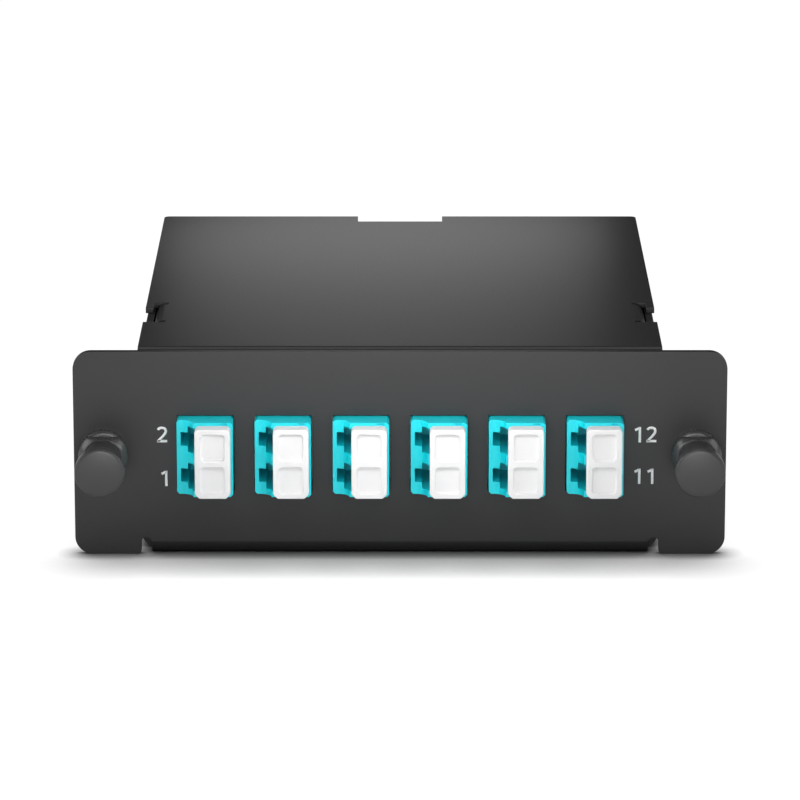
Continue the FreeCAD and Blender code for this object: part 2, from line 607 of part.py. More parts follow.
def mpo_dust_cap():
    face = (MPO_REAR + CAP_GAP, MPO_REAR + CAP_GAP + MPO_CAP_FLANGE)
    plate = chamfered_box(centred(0, MPO_WIDTH - 2 * MPO_CLEARANCE), face,
                          centred(0, MPO_HEIGHT - 2 * MPO_CLEARANCE), MPO_CORNER)
    plug = box(centred(0, MPO_PORT_WIDTH - 2 * MPO_CLEARANCE), (face[0] - MPO_CAP_STEM, face[0]),
               centred(0, MPO_PORT_HEIGHT - 2 * MPO_CLEARANCE))
    key = box(centred(0, MPO_KEY_WIDTH - 2 * MPO_CLEARANCE), (face[0] - MPO_CAP_STEM, face[0]),
              (0, MPO_PORT_HEIGHT / 2 + MPO_KEY_DEPTH - MPO_CLEARANCE))
    return fuse([plate, plug, key])


def mpo_plug():
    """Inner MPO connector: ferrule block, housing, sliding collar and boot."""
    housing_rear = MPO_MIDDLE - FERRULE_BLOCK_REAR
    ferrule = box(centred(0, FERRULE_BLOCK_WIDTH), (housing_rear, MPO_MIDDLE), centred(0, FERRULE_BLOCK_HEIGHT))
    housing = box(centred(0, MPO_PORT_WIDTH - 2 * MPO_CLEARANCE), (MPO_COLLAR_REAR, housing_rear),
                  centred(0, MPO_PORT_HEIGHT - 2 * MPO_CLEARANCE))
    collar = chamfered_box(centred(0, MPO_COLLAR_WIDTH), (MPO_COLLAR_FRONT, MPO_COLLAR_REAR),
                           centred(0, MPO_COLLAR_HEIGHT), MPO_CORNER)
    boot_tip = (RIBBON_WIDTH + 2 * BOOT_WALL, RIBBON_THICKNESS + 2 * BOOT_WALL)
    boot = taper(0, boot_tip, (MPO_BOOT_WIDTH, MPO_BOOT_HEIGHT), (MPO_BOOT_FRONT, MPO_COLLAR_FRONT))
    return fuse([ferrule, housing, collar, boot])


# ---------------------------------------------------------------- fibre harness
def fibre_ribbon():
    """Twelve-fibre ribbon from the MPO plug to the fan-out block."""
    return box(centred(0, RIBBON_WIDTH), (FANOUT_REAR, MPO_BOOT_FRONT), centred(0, RIBBON_THICKNESS))


def tail_line(start_x, end_x):
    """Middle line of a tail from above: a straight lead at both ends, and a slant between two round bends."""
    start = vec(start_x, FANOUT_FRONT, 0)
    end = vec(end_x, BOOT_REAR, 0)
    lead = vec(0, -1, 0)
    turn_in = start + lead * TAIL_LEAD
    turn_out = end - lead * TAIL_LEAD
    slant = (turn_out - turn_in).normalize()
    angle = lead.getAngle(slant)
    reach = min(LEAD_SHARE * TAIL_LEAD, (turn_out - turn_in).Length / 2 - TAIL_THICKNESS)
    bend = reach / math.tan(angle / 2)
    side = (slant - lead * math.cos(angle)).normalize()
    print(f"tail to x {end_x:.1f}: bends of {bend:.1f} mm radius")
    first = turn_in - lead * reach
    last = turn_out + lead * reach
    turns = [angle * i / BEND_STEPS for i in range(BEND_STEPS + 1)]
    arc = [lead * (bend * math.sin(a)) + side * (bend * (1 - math.cos(a))) for a in turns]
    return [start] + [first + step for step in arc] + [last - step for step in reversed(arc)] + [end]


def tail(start_x, end_x):
    """Flat tail, two fibres high, that follows its middle line."""
    line = tail_line(start_x, end_x)
    edges = ([], [])
    for i, point in enumerate(line):
        ways = [(line[j + 1] - line[j]).normalize() for j in (i - 1, i) if 0 <= j < len(line) - 1]
        way = (ways[0] + ways[-1]).normalize()
        half = TAIL_THICKNESS / 2 / math.cos(way.getAngle(ways[0]))
        across = vec(-way.y, way.x, 0) * half
        edges[0].append((point.x + across.x, point.y + across.y))
        edges[1].append((point.x - across.x, point.y - across.y))
    return slab(edges[0] + edges[1][::-1], centred(0, TAIL_HEIGHT))


def lc_tails():
    """Six flat two-fibre tails, laid level from the fan-out block to the plugs."""
    tails = []
    for i, place in enumerate(adapter_places()):
        exit_x = TAIL_PITCH * (i - (ADAPTER_COUNT - 1) / 2)
        tails.append(tail(exit_x, place + PORT_OFFSET))
    return Part.makeCompound(tails)


def fan_out_block():
    block = box(centred(0, FANOUT_WIDTH), (FANOUT_FRONT, FANOUT_REAR), centred(0, FANOUT_HEIGHT))
    rear_corners = edges_along(block, ALONG_Z, lambda p: p.y > FANOUT_REAR - 0.01)
    return block.makeChamfer(FANOUT_TAPER, rear_corners)


def fan_out_stand():
    """Folded sheet stand that lifts the fan-out block from the tray's floor."""
    y = centred(FANOUT_FRONT + STAND_LENGTH / 2, STAND_LENGTH)
    top = -FANOUT_HEIGHT / 2
    outer = FANOUT_WIDTH / 2
    seat = box((-outer, outer), y, (top - STAND_SHEET, top))
    leg = box((outer - STAND_SHEET, outer), y, (FLOOR, top))
    foot = box((outer, outer + STAND_FOOT), y, (FLOOR, FLOOR + STAND_SHEET))
    return fuse([seat] + both_sides(leg) + both_sides(foot))


# ---------------------------------------------------------------- cover screws
def cover_screw():
    """Flat-head screw in the +X side wall, turned into the cover's tab."""
    inward = vec(-1, 0, 0)
    seat = vec(WALL_OUTER, TAB_MIDDLE, SCREW_HEIGHT)
    head = Part.makeCylinder(SCREW_HEAD_RADIUS, SHEET, seat, inward)
    shank = Part.makeCylinder(SCREW_RADIUS, WALL_OUTER - TAB_FACE + SCREW_REACH, seat, inward)
    return head.fuse(shank).removeSplitter()


# ---------------------------------------------------------------- write the pieces
def moved(shape, x):
    copy = shape.copy()
    copy.translate(vec(x, 0, 0))
    return copy


def pieces():
    made = {
        "front_tray": front_tray(),
        "top_cover": top_cover(),
        "cover_screws": Part.makeCompound(both_sides(cover_screw())),
        "latch_grommet_left": latch_grommet(-LATCH_X),
        "latch_grommet_right": latch_grommet(LATCH_X),
        "latch_plunger_left": latch_plunger(-LATCH_X),
        "latch_plunger_right": latch_plunger(LATCH_X),
        "mpo_adapter": mpo_adapter(),
        "mpo_adapter_screws": Part.makeCompound([mpo_screw(-MPO_SCREW_SPACING / 2), mpo_screw(MPO_SCREW_SPACING / 2)]),
        "mpo_dust_cap": mpo_dust_cap(),
        "mpo_plug": mpo_plug(),
        "fibre_ribbon": fibre_ribbon(),
        "fan_out_block": fan_out_block(),
        "fan_out_stand": fan_out_stand(),
        "lc_tails": lc_tails(),
    }
    per_adapter = {
        "lc_adapter": lc_adapter(),
        "adapter_clip": adapter_clip(),
        "sleeve_pair": sleeve_pair(),
        "lc_plug": lc_plug(),
        "dust_cap": dust_cap(),
    }
    for number, x in enumerate(adapter_places(), start=1):
        for name, shape in per_adapter.items():
            made[f"{name}_{number}"] = moved(shape, x)
    return made


os.makedirs("parts", exist_ok=True)
for name, shape in pieces().items():
    shape.exportStep(f"parts/{name}.step")
    print(f"{name}: {len(shape.Solids)} solids, {shape.Volume:.1f} mm3")
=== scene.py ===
# %% [markdown]
# # A fibre cassette for a rack panel
#
# The real object is a flat steel box that slides into a rack panel. Its front plate holds six
# light blue fibre adapters, each closed with a white dust cap, and a black push-pull latch sits
# in each ear. The exact solids come from the CAD model. This lesson loads them as a fixed frame,
# lights them, gives every piece its finish, and models the small forms that the eye looks for.

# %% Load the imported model
import bpy
import bmesh
import json
import math
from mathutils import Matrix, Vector


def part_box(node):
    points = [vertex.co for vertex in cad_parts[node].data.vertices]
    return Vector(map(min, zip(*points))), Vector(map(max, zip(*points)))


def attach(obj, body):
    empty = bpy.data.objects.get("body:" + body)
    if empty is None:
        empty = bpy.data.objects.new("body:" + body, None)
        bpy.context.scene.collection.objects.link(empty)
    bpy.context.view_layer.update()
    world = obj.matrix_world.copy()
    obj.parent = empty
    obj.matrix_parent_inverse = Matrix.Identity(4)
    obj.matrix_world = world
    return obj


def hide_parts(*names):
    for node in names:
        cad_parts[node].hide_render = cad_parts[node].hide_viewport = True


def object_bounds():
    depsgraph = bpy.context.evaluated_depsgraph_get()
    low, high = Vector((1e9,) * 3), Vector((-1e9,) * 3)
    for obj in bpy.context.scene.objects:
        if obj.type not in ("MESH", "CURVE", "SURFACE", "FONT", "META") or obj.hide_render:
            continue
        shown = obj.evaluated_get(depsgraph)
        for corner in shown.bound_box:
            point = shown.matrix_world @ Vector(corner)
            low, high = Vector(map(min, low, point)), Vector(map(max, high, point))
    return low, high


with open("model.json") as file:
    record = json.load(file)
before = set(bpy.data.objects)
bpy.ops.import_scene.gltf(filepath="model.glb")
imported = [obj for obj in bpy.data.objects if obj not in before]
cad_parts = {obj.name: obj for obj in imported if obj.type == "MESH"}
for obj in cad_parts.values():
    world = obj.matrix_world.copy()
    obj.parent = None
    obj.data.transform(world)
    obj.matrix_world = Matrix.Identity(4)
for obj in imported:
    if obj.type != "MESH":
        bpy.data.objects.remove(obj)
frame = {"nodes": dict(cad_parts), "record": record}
cad_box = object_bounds()
nodes = frame["nodes"]
MM = 0.001
print("CAD nodes:", len(nodes), "box:", cad_box)

# %% [markdown]
# ## Camera
#
# A product is pictured from far away with a long lens, so that its upright edges stay nearly
# parallel. The camera stands in front of the panel's middle and a little above it. The
# place follows from one angle and one distance, measured from the panel's front. Values are in
# mm where they are multiplied by MM, and otherwise in metres.

# %% Camera
CAMERA_HEIGHT_ANGLE = math.radians(14.80)
CAMERA_DISTANCE = 0.83075
LENS = 224.35
AIM_HEIGHT = 9.21
PANEL_FRONT = -1.2
aim = Vector((0, PANEL_FRONT * MM, AIM_HEIGHT * MM))
back = Vector((0, -math.cos(CAMERA_HEIGHT_ANGLE), math.sin(CAMERA_HEIGHT_ANGLE)))

bpy.ops.object.select_all(action="DESELECT")
bpy.ops.object.camera_add(location=aim + back * CAMERA_DISTANCE,
                          rotation=(math.pi / 2 - CAMERA_HEIGHT_ANGLE, 0, 0))
camera = bpy.context.object
camera.name = "camera"
camera.data.lens = LENS
camera.data.clip_end = 20
bpy.context.scene.camera = camera
bpy.context.scene.view_settings.view_transform = "Standard"
print("camera at", [round(v, 4) for v in camera.location], "lens", LENS)

# %% [markdown]
# ## Colours and nodes
#
# Colours are written as the hex values that a paint chart gives. Shaders work in linear light,
# so one function converts them. A second function adds a shader node, sets it and links it,
# which keeps each material below to a few readable lines.

# %% Two helpers for materials
def linear(hex_value):
    """sRGB hex, such as #1b1b1c, to linear RGBA."""
    parts = [int(hex_value[i:i + 2], 16) / 255 for i in (1, 3, 5)]
    return [p / 12.92 if p <= 0.04045 else ((p + 0.055) / 1.055) ** 2.4 for p in parts] + [1.0]


def add(tree, kind, settings=None, inputs=None):
    """Adds a node, sets its properties, then sets or links its inputs."""
    node = tree.nodes.new(kind)
    for key, value in (settings or {}).items():
        setattr(node, key, value)
    for key, value in (inputs or {}).items():
        if isinstance(value, bpy.types.NodeSocket):
            tree.links.new(value, node.inputs[key])
        else:
            node.inputs[key].default_value = value
    return node


def new_material(name):
    """A material with an empty tree, its output, and the Object coordinates."""
    material = bpy.data.materials.new(name)
    material.use_nodes = True
    tree = material.node_tree
    tree.nodes.clear()
    output = add(tree, "ShaderNodeOutputMaterial")
    place = add(tree, "ShaderNodeTexCoord").outputs["Object"]
    return material, tree, output, place


print("white is", linear("#ffffff"))

# %% [markdown]
# ## Floor
#
# The studio is a white sweep, which the camera sees as a plain white glow over a dim grey paint that takes
# the lamps' own shadows. The shadow under the object is painted. Ambient occlusion measures how closed in a
# point is, and it darkens the glow and the floor's colour in two places: a painted crease of a few mm right
# at the object, and a softer painted shadow in front, where the measure leans back towards the object.
# Mirror rays see the same floor with a painted shade over a hand's width, which darkens a satin panel's
# reflection of the floor towards its foot.

# %% Floor
FLOOR_SIZE = 8.0
CREASE_REACH = 0.004
SHADOW_REACH = 0.016
MIRROR_REACH = 0.20
CREASE_POWER = 3.0
MIRROR_POWER = 5.0
LEAN_BACK = 0.8
LEAN_UP = 0.6
FLOOR_GAP = 0.02
floor_height = cad_box[0][2] - FLOOR_GAP * MM
bpy.ops.object.select_all(action="DESELECT")
bpy.ops.mesh.primitive_plane_add(size=FLOOR_SIZE, location=(0, 0, floor_height))
floor = bpy.context.object
floor.name = "floor"

material, tree, output, place = new_material("studio_sweep_white")
leaning = add(tree, "ShaderNodeCombineXYZ", inputs={"Y": LEAN_BACK, "Z": LEAN_UP})
near = add(tree, "ShaderNodeAmbientOcclusion", {"samples": 16}, {"Distance": CREASE_REACH})
wide = add(tree, "ShaderNodeAmbientOcclusion", {"samples": 16},
           {"Distance": SHADOW_REACH, "Normal": leaning.outputs[0]})
far = add(tree, "ShaderNodeAmbientOcclusion", {"samples": 16}, {"Distance": MIRROR_REACH})
# Painted shadow: this occlusion, not the lamps, darkens the floor's glow and colour near the object.
crease = add(tree, "ShaderNodeMath", {"operation": "POWER"}, {0: near.outputs["AO"], 1: CREASE_POWER})
painted_floor_shadow = add(tree, "ShaderNodeMath", {"operation": "MULTIPLY"}, {0: crease.outputs[0], 1: wide.outputs["AO"]})
# Painted reflection shade: mirror rays see the floor darkened over a hand's width around the object.
painted_mirror_shade = add(tree, "ShaderNodeMath", {"operation": "POWER"}, {0: far.outputs["AO"], 1: MIRROR_POWER})
rays = add(tree, "ShaderNodeLightPath")
strength = add(tree, "ShaderNodeMix", inputs={
    0: rays.outputs["Is Glossy Ray"], 2: painted_floor_shadow.outputs[0], 3: painted_mirror_shade.outputs[0]})
glow = add(tree, "ShaderNodeEmission", inputs={"Color": linear("#ffffff"), "Strength": strength.outputs[0]})
# Painted shade: the floor's colour for bounced light is darkened by the same occlusion.
paint = add(tree, "ShaderNodeBsdfDiffuse", inputs={"Color": painted_floor_shadow.outputs[0]})
dim_paint = add(tree, "ShaderNodeBsdfDiffuse", inputs={"Color": linear("#606060")})
lifted = add(tree, "ShaderNodeAddShader", inputs={0: dim_paint.outputs[0], 1: glow.outputs[0]})
seen = add(tree, "ShaderNodeMath", {"operation": "MAXIMUM"}, {
    0: rays.outputs["Is Camera Ray"], 1: rays.outputs["Is Glossy Ray"]})
seen = add(tree, "ShaderNodeMath", {"operation": "MAXIMUM"}, {
    0: seen.outputs[0], 1: rays.outputs["Is Transmission Ray"]})
mixed = add(tree, "ShaderNodeMixShader", inputs={
    0: seen.outputs[0], 1: paint.outputs[0], 2: lifted.outputs[0]})
tree.links.new(mixed.outputs[0], output.inputs["Surface"])
floor.data.materials.append(material)
print("floor at z", round(floor_height / MM, 2), "mm")

# %% [markdown]
# ## World
#
# The camera sees plain white all round, so the background is white from every side. Mirror rays
# see a low white wall and a dark room above it, as a studio is, which keeps a flat black cover
# black. As a light the world is an even, weak fill.

# %% World
SOFT_LIGHT = 0.15
WALL_TOP = 0.09
DARK_ROOM = 0.03
world = bpy.data.worlds.new("studio")
bpy.context.scene.world = world
world.use_nodes = True
tree = world.node_tree
tree.nodes.clear()
rays = add(tree, "ShaderNodeLightPath")
seen = add(tree, "ShaderNodeMath", {"operation": "MAXIMUM"}, {
    0: rays.outputs["Is Camera Ray"], 1: rays.outputs["Is Glossy Ray"]})
seen = add(tree, "ShaderNodeMath", {"operation": "MAXIMUM"}, {
    0: seen.outputs[0], 1: rays.outputs["Is Transmission Ray"]})
view = add(tree, "ShaderNodeTexCoord")
direction = add(tree, "ShaderNodeSeparateXYZ", inputs={0: view.outputs["Generated"]})
wall = add(tree, "ShaderNodeMapRange", inputs={
    0: direction.outputs["Z"], 1: 0.0, 2: WALL_TOP, 3: 1.0, 4: DARK_ROOM})
soft = add(tree, "ShaderNodeBackground", inputs={"Color": linear("#f6f6f6"), "Strength": SOFT_LIGHT})
strength = add(tree, "ShaderNodeMath", {"operation": "MAXIMUM"}, {
    0: wall.outputs[0], 1: rays.outputs["Is Camera Ray"]})
white = add(tree, "ShaderNodeBackground", inputs={
    "Color": linear("#ffffff"), "Strength": strength.outputs[0]})
both = add(tree, "ShaderNodeMixShader", inputs={
    0: seen.outputs[0], 1: soft.outputs[0], 2: white.outputs[0]})
add(tree, "ShaderNodeOutputWorld", inputs={"Surface": both.outputs[0]})
print("soft light", SOFT_LIGHT)

# %% [markdown]
# ## Lamps
#
# A short strip stands close over the front edge. Its light falls off within a hand's width, so
# the plate is paler at its top than at its foot. A box low in front fills the ports and lays a
# sheen on the latch heads, and one at each side finds the latches' shoulders. A small box right
# behind the cover gives it a glow that fades forwards, and a weak one hangs overhead.

# %% Lamps
def soft_box(name, location, target, size, watts):
    """Area lamp that points at a target."""
    bpy.ops.object.select_all(action="DESELECT")
    turn = (Vector(target) - Vector(location)).to_track_quat("-Z", "Y").to_euler()
    bpy.ops.object.light_add(type="AREA", location=location, rotation=turn)
    lamp = bpy.context.object
    lamp.name = name
    lamp.data.shape = "ELLIPSE"
    lamp.data.size, lamp.data.size_y = size
    lamp.data.energy = watts
    print(name, watts, "W")
    return lamp


# Each lamp has a place and a target in metres, a width and height, and its watts.
LAMPS = {
    "panel_strip": ((0, -0.034, 0.026), (0, 0, 0.006), (0.085, 0.012), 0.0120),
    "front_box": ((0, -1.6, 0.16), (0, 0, 0), (0.60, 0.32), 5.0),
    "left_box": ((-0.33, -0.075, 0.15), (-0.05, 0, 0), (0.24, 0.26), 0.46),
    "right_box": ((0.33, -0.075, 0.15), (0.05, 0, 0), (0.24, 0.26), 0.34),
    "cover_box": ((-0.003, 0.136, 0.036), (0, 0.09, 0.0175), (0.090, 0.025), 0.0060),
    "back_box": ((0, 0.30, 0.95), (0, 0.03, 0), (0.9, 0.5), 1.5),
}
for name, (location, target, size, watts) in LAMPS.items():
    soft_box(name, location, target, size, watts).visible_camera = False

# %% [markdown]
# ## Powder-coated steel
#
# Panel, tray and cover are cold-rolled sheet, punched, folded and then powder coated. The powder
# melts into a skin with a fine sand texture, which breaks reflections into a soft grey sheen.
# A noise of the grain's size drives a weak bump and the roughness, and a slower one varies the
# tone a little. It is made by hand here, node by node, because it covers most of the object.

# %% Powder-coated steel
finish = {}
SAND_GRAIN = 0.35
SAND_DEPTH = 0.02
CLOUD = 9.0
SMOOTHEST = 0.34
ROUGHEST = 0.44

# Polyester powder baked on steel: nearly black, satin, with a fine sandy skin.
material, tree, output, place = new_material("powder_coated_steel")
grain = add(tree, "ShaderNodeTexNoise", inputs={
    "Vector": place, "Scale": 1 / (SAND_GRAIN * MM), "Detail": 2.0})
cloud = add(tree, "ShaderNodeTexNoise", inputs={
    "Vector": place, "Scale": 1 / (CLOUD * MM), "Detail": 3.0})
tone = add(tree, "ShaderNodeMix", {"data_type": "RGBA"}, {
    0: cloud.outputs[0], 6: linear("#262627"), 7: linear("#2a2a2b")})
rough = add(tree, "ShaderNodeMapRange", inputs={0: grain.outputs[0], 3: SMOOTHEST, 4: ROUGHEST})
skin = add(tree, "ShaderNodeBump", inputs={
    "Height": grain.outputs[0], "Strength": 0.5, "Distance": SAND_DEPTH * MM})
coat = add(tree, "ShaderNodeBsdfPrincipled", inputs={
    "Base Color": tone.outputs[2], "Roughness": rough.outputs[0], "Specular IOR Level": 0.5,
    "Normal": skin.outputs[0]})
tree.links.new(coat.outputs[0], output.inputs["Surface"])
finish["powder_coated_steel"] = material
print("powder coat: grain", SAND_GRAIN, "mm")

# %% [markdown]
# ## Moulded plastics
#
# Latches are black nylon, adapters and plugs are light blue PBT, dust caps are soft white
# polyethylene. Moulding copies the steel of the mould, so each has a faint spark-eroded grain.
# Nylon and PBT are satin; polyethylene is waxy, with light passing a short way under the skin.

# %% Moulded plastics
FLOW_MARK = 4.0
SPARK_DEPTH = 0.01
SHEEN_SPREAD = 0.05


def moulded(name, dark, light, grain_mm, rough, strength=0.15, extra=None):
    """Satin plastic: slow tone clouds, and a spark-eroded grain in height and roughness."""
    material, tree, output, place = new_material(name)
    grain = add(tree, "ShaderNodeTexNoise", inputs={
        "Vector": place, "Scale": 1 / (grain_mm * MM), "Detail": 2.0})
    cloud = add(tree, "ShaderNodeTexNoise", inputs={
        "Vector": place, "Scale": 1 / (FLOW_MARK * MM), "Detail": 3.0})
    tone = add(tree, "ShaderNodeMix", {"data_type": "RGBA"}, {
        0: cloud.outputs[0], 6: linear(dark), 7: linear(light)})
    sheen = add(tree, "ShaderNodeMapRange", inputs={
        0: grain.outputs[0], 3: rough - SHEEN_SPREAD, 4: rough + SHEEN_SPREAD})
    skin = add(tree, "ShaderNodeBump", inputs={
        "Height": grain.outputs[0], "Strength": strength, "Distance": SPARK_DEPTH * MM})
    plastic = add(tree, "ShaderNodeBsdfPrincipled", inputs={
        "Base Color": tone.outputs[2], "Roughness": sheen.outputs[0],
        "Normal": skin.outputs[0], **(extra or {})})
    tree.links.new(plastic.outputs[0], output.inputs["Surface"])
    finish[name] = material
    print(name, dark, light)


# Glass-filled nylon, injection moulded: dark grey, painted a little lighter than the plunger's nylon as a
# painted highlight on its lit shoulders, with a soft shine on them.
moulded("black_nylon_grommet", "#454546", "#4a4a4b", 0.25, 0.26)
# Nylon from a finer mould, handled daily: the latch's own near black, darker than the grommet's
# painted-lighter grey, with a wider sheen on the pull head.
moulded("black_nylon_plunger", "#3c3c3d", "#414142", 0.25, 0.34)
# Dyed PBT, injection moulded: a clean light blue that glows a little at thin edges.
moulded("aqua_adapter_plastic", "#10e0ec", "#14e8f4", 0.20, 0.38,
        extra={"Subsurface Weight": 0.2, "Subsurface Radius": (0.0004, 0.001, 0.001)})
# The same PBT in the rear plug's shell: a shade deeper.
moulded("aqua_connector_plastic", "#12c0cc", "#16cad5", 0.20, 0.38)
# Undyed PBT of the inner plugs: warm beige, satin.
moulded("beige_connector_plastic", "#d8cdb0", "#dfd5ba", 0.20, 0.40)
# Soft polyethylene, injection moulded: milky white and waxy, light passes under its skin.
moulded("white_cap_plastic", "#f0f0f1", "#f6f6f6", 0.30, 0.45,
        extra={"Subsurface Weight": 0.15, "Subsurface Radius": (0.001, 0.001, 0.001)})
# Screen ink, printed and baked: opaque white, nearly matt.
moulded("white_ink", "#fafafa", "#ffffff", 0.30, 0.50)
# Black polyethylene of the rear cap: a waxy, slightly lighter black.
moulded("black_cap_plastic", "#1c1c1d", "#232324", 0.30, 0.45)
# Soft PVC drawn over glass fibre: light blue and matt.
moulded("aqua_cord_jacket", "#1bb4c0", "#20bfca", 0.15, 0.50)

# %% [markdown]
# ## Zinc, spring steel and ceramic
#
# The screws are black zinc plated, the adapter clips are rolled spring steel, and the sleeves
# inside the adapters are ground zirconia. Plating and rolling leave fine marks that stretch a
# reflection; the ceramic is nearly plain, with a faint mottle.

# %% Metals and ceramic
MARK_DEPTH = 0.005


def metal(name, dark, light, stretch, grain_mm, rough):
    """Metal with marks drawn out along Z by the stretch factor."""
    material, tree, output, place = new_material(name)
    drawn = add(tree, "ShaderNodeMapping", inputs={"Vector": place, "Scale": (1, 1, 1 / stretch)})
    marks = add(tree, "ShaderNodeTexNoise", inputs={
        "Vector": drawn.outputs[0], "Scale": 1 / (grain_mm * MM), "Detail": 4.0})
    tone = add(tree, "ShaderNodeMix", {"data_type": "RGBA"}, {
        0: marks.outputs[0], 6: linear(dark), 7: linear(light)})
    sheen = add(tree, "ShaderNodeMapRange", inputs={0: marks.outputs[0], 3: rough - 0.06, 4: rough + 0.08})
    skin = add(tree, "ShaderNodeBump", inputs={
        "Height": marks.outputs[0], "Strength": 0.1, "Distance": MARK_DEPTH * MM})
    shader = add(tree, "ShaderNodeBsdfPrincipled", inputs={
        "Base Color": tone.outputs[2], "Metallic": 1.0, "Roughness": sheen.outputs[0],
        "Normal": skin.outputs[0]})
    tree.links.new(shader.outputs[0], output.inputs["Surface"])
    finish[name] = material
    print(name, dark, light)


# Zinc plated and black passivated steel: dark, with a blunt highlight on the head's rim.
metal("black_zinc_screws", "#2a2a2c", "#3a3a3d", 1.0, 0.4, 0.35)
# Rolled and stamped spring steel: bright, its reflection drawn out along the rolling marks.
metal("spring_steel", "#b8b9bb", "#c8c9cb", 8.0, 0.3, 0.28)
# Fired and ground zirconia: ivory white, almost polished.
moulded("zirconia", "#f2efe8", "#f8f6f1", 0.5, 0.15, strength=0.05)

# %% [markdown]
# ## Finishes on the CAD nodes
#
# The record says which finish each node has, so one loop gives every node its material. The
# pieces modelled below take the same finishes.

# %% Give every CAD node its finish
for part in frame["record"]["subparts"]:
    mesh = nodes[part["node"]].data
    mesh.materials.clear()
    mesh.materials.append(finish[part["material_slot"]])

# %% [markdown]
# ## Ways of working on a mesh
#
# An operator acts on everything that is selected, so a piece is always chosen alone first.
# Faces and edges are then picked by where they are or which way they face. A finished piece
# has its place in its mesh, rides on a CAD body, and takes a finish that the record names.

# %% Helpers for modelling
NEARLY = 0.9


def alone(piece):
    """Makes this the only selected object, in object mode."""
    if bpy.context.object and bpy.context.object.mode == "EDIT":
        bpy.ops.object.mode_set(mode="OBJECT")
    bpy.ops.object.select_all(action="DESELECT")
    piece.select_set(True)
    bpy.context.view_layer.objects.active = piece


def pick(piece, kind, test):
    """In edit mode, selects only the faces or edges that pass the test."""
    bpy.ops.object.mode_set(mode="EDIT")
    bpy.ops.mesh.select_mode(type=kind)
    bpy.ops.mesh.select_all(action="DESELECT")
    shape = bmesh.from_edit_mesh(piece.data)
    parts = shape.faces if kind == "FACE" else shape.edges
    for part in parts:
        part.select_set(bool(test(part)))
    shape.select_flush_mode()
    bmesh.update_edit_mesh(piece.data)


def block(name, low, high):
    """A block between two corners in mm, the start of a piece."""
    bpy.ops.object.select_all(action="DESELECT")
    middle = [(a + b) / 2 * MM for a, b in zip(low, high)]
    bpy.ops.mesh.primitive_cube_add(size=1, location=middle)
    piece = bpy.context.object
    piece.name = name
    piece.scale = [(b - a) * MM for a, b in zip(low, high)]
    bpy.ops.object.transform_apply(location=True, rotation=True, scale=True)
    return piece


def along_y(edge):
    """Whether an edge runs from front to back, give or take."""
    run = edge.verts[0].co - edge.verts[1].co
    return abs(run.y) > NEARLY * run.length


def modify(piece, kind, **settings):
    """Adds a modifier with these settings and applies it."""
    alone(piece)
    modifier = piece.modifiers.new(kind.lower(), kind)
    for key, value in settings.items():
        setattr(modifier, key, value)
    bpy.ops.object.modifier_apply(modifier=modifier.name)


def cut(piece, tool):
    """Takes the tool's shape out of the piece, and the tool is used up."""
    modify(piece, "BOOLEAN", operation="DIFFERENCE", object=tool, solver="EXACT")
    bpy.data.objects.remove(tool)


def soften(piece, width_mm, segments=2, smooth=50):
    """Rounds every sharp edge a little and smooths the shading."""
    modify(piece, "BEVEL", width=width_mm * MM, segments=segments, limit_method="ANGLE",
           angle_limit=math.radians(35))
    alone(piece)
    bpy.ops.object.shade_smooth_by_angle(angle=math.radians(smooth))
    modify(piece, "WEIGHTED_NORMAL", keep_sharp=True)
    return piece


def join(pieces):
    """Joins pieces into the first one."""
    alone(pieces[0])
    for piece in pieces:
        piece.select_set(True)
    bpy.ops.object.join()
    return pieces[0]


def place_piece(piece, body, slot, *replaced, paint=None):
    """Gives a finished piece its material, its body and the CAD nodes it stands for."""
    piece.data.materials.clear()
    piece.data.materials.append(finish[paint or slot])
    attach(piece, body)
    if replaced:
        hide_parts(*replaced)
    print(piece.name, "faces:", len(piece.data.polygons))


def box_mm(node):
    """The two corners of a CAD node's box, in mm."""
    low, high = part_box(node)
    return [v / MM for v in low], [v / MM for v in high]


def copied(piece, name, from_node, to_node):
    """A copy with its own mesh, moved along X by as much as the two CAD nodes lie apart."""
    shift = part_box(to_node)[0][0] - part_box(from_node)[0][0]
    alone(piece)
    bpy.ops.object.duplicate(linked=False)
    other = bpy.context.object
    other.name = name
    bpy.ops.transform.translate(value=(shift, 0, 0))
    bpy.ops.object.transform_apply(location=True, rotation=True, scale=True)
    return other


# %% [markdown]
# ## White dust caps
#
# Each cap is one soft moulding: a plate with rounded upper and cut lower corners, two shallow
# dishes for a finger and thumb, and a hollow plug for each port. The plate is a block whose
# edges from front to back are bevelled. Each dish is cut with a block that is rounded first,
# which leaves a soft rim like the mould's. One cap is modelled, and the others are copies.

# %% The cap's plate
CAP_THICKNESS = 2.75
CAP_CORNER = 0.75
DISH_WIDTH = 4.0
DISH_HEIGHT = 4.5
DISH_DEPTH = 0.80
DISH_CORNER = 0.65
DISH_EDGE = 0.22
DISH_PITCH = 5.6
CAP_EDGE = 0.20
OUTSIDE = 1


